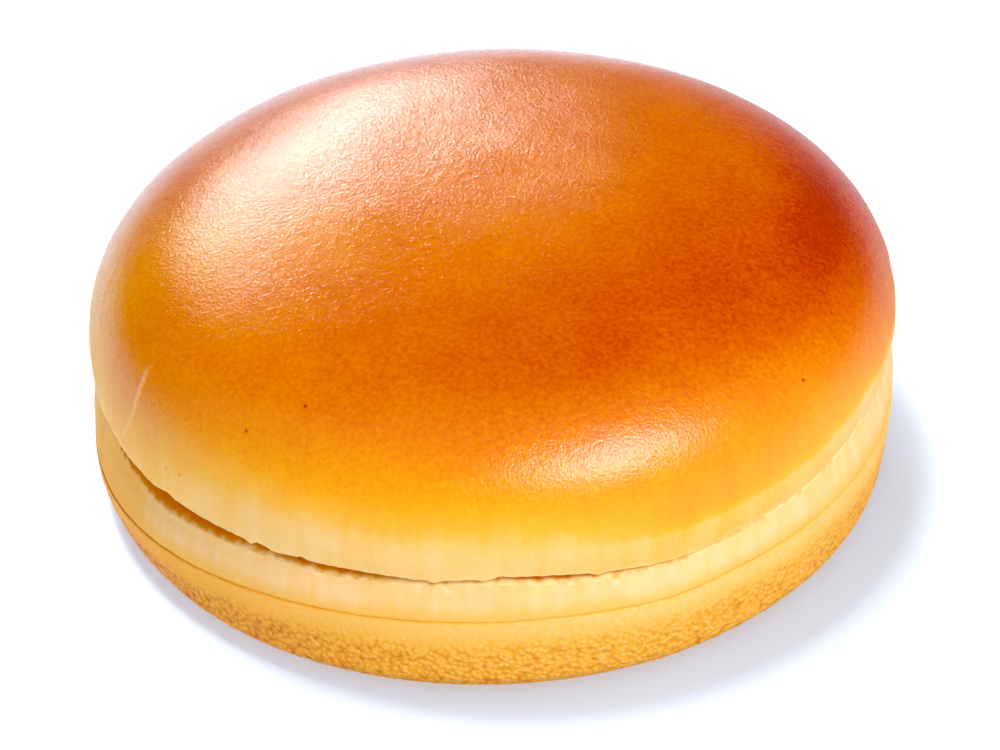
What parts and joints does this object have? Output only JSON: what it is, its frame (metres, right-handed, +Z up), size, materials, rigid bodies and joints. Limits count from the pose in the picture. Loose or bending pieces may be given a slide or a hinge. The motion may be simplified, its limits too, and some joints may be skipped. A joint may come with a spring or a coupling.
{
  "type": "bread roll",
  "caption": "Soft round burger bun with a glossy browned dome, pale sides and a pan-baked base, sliced through into a crown and a heel that lie on each other.",
  "frame": {"origin": "middle of the bun's width and depth, at the level of the flat base", "axes": "+Z up through the dome; -Y faces the front where the cut stands open at its left; +X to the right of that front"},
  "size_m": [0.1018, 0.1024, 0.0411],
  "materials": {
    "crown_crust": "baked egg-washed crust, satin gloss, orange brown on top and cream at the sides",
    "heel_crust": "soft matt bread skin, cream above the pan seam and golden and grainy below it"
  },
  "bodies": {
    "root": {"crown": "crown_crust", "heel": "heel_crust"}
  },
  "joints": []
}
